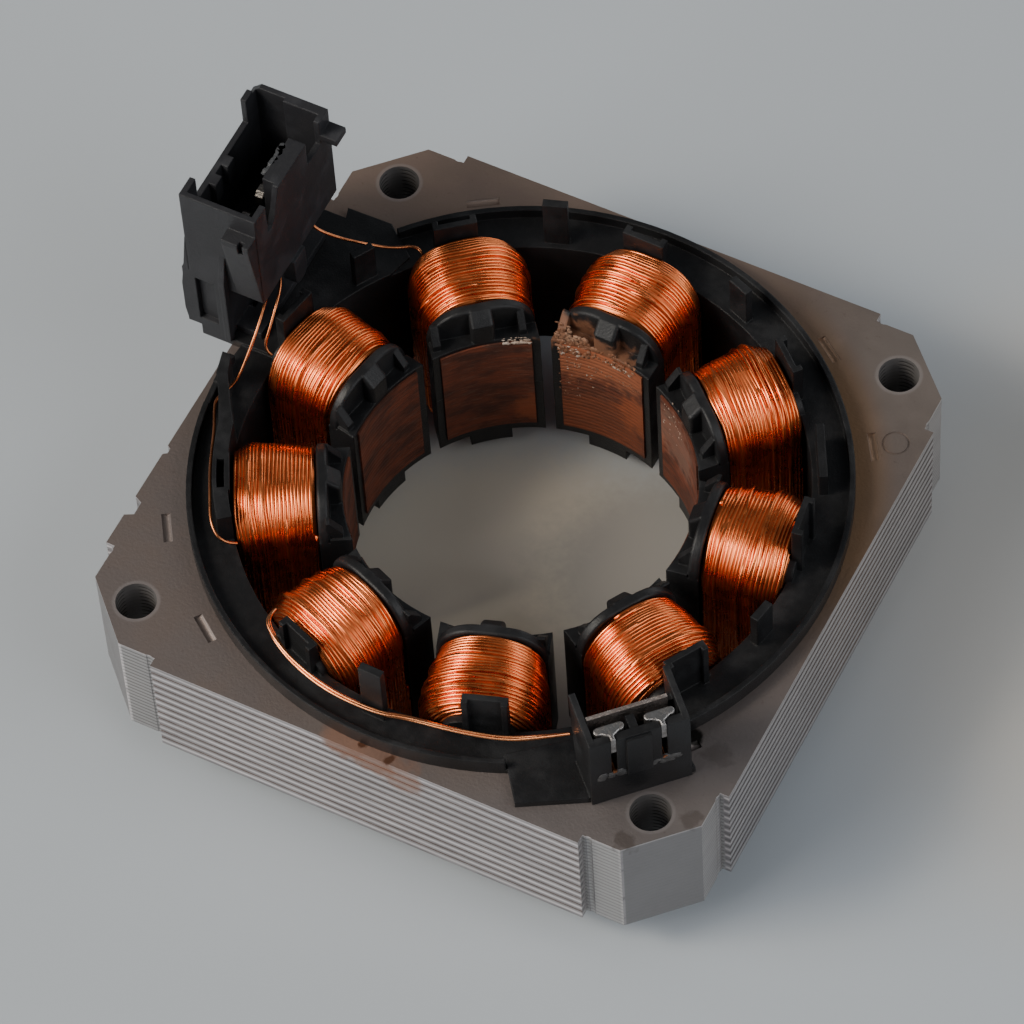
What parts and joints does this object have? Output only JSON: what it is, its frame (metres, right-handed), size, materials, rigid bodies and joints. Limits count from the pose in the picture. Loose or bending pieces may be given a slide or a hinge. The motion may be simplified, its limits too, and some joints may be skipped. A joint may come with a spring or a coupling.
{
  "type": "wound stator",
  "caption": "Square-framed wound stator for an outer-housed brushless motor: laminated steel poles with copper coils, black end insulators, a plug housing and a two-way terminal pocket.",
  "frame": {"origin": "centre of the square of corner holes, on the lower face of the lamination stack", "axes": "+Z along the bore axis towards the end with the plug housing; -X towards the side with the plug housing; the terminal pocket lies between +X and -Y"},
  "size_m": [0.0785, 0.0728, 0.0442],
  "materials": {
    "lamination_steel": "satin stamped electrical steel, lightly rusted on the pole faces",
    "black_plastic": "satin moulded black plastic",
    "enamelled_copper": "glossy enamel on copper wire",
    "tinned_metal": "dull tin plate"
  },
  "bodies": {
    "root": {"lamination_stack": "lamination_steel", "upper_insulator": "black_plastic", "lower_insulator": "black_plastic", "coil_1": "enamelled_copper", "coil_2": "enamelled_copper", "coil_3": "enamelled_copper", "coil_4": "enamelled_copper", "coil_5": "enamelled_copper", "coil_6": "enamelled_copper", "coil_7": "enamelled_copper", "coil_8": "enamelled_copper", "coil_9": "enamelled_copper", "connector_housing": "black_plastic", "phase_terminal_1": "tinned_metal", "phase_terminal_2": "tinned_metal", "phase_terminal_3": "tinned_metal", "pocket_terminal_1": "tinned_metal", "pocket_terminal_2": "tinned_metal", "pocket_link": "tinned_metal", "pocket_wire_1": "enamelled_copper", "pocket_wire_2": "enamelled_copper", "lead_coil_1": "enamelled_copper", "lead_coil_8": "enamelled_copper", "lead_coil_9": "enamelled_copper", "lead_front": "enamelled_copper"}
  },
  "joints": []
}
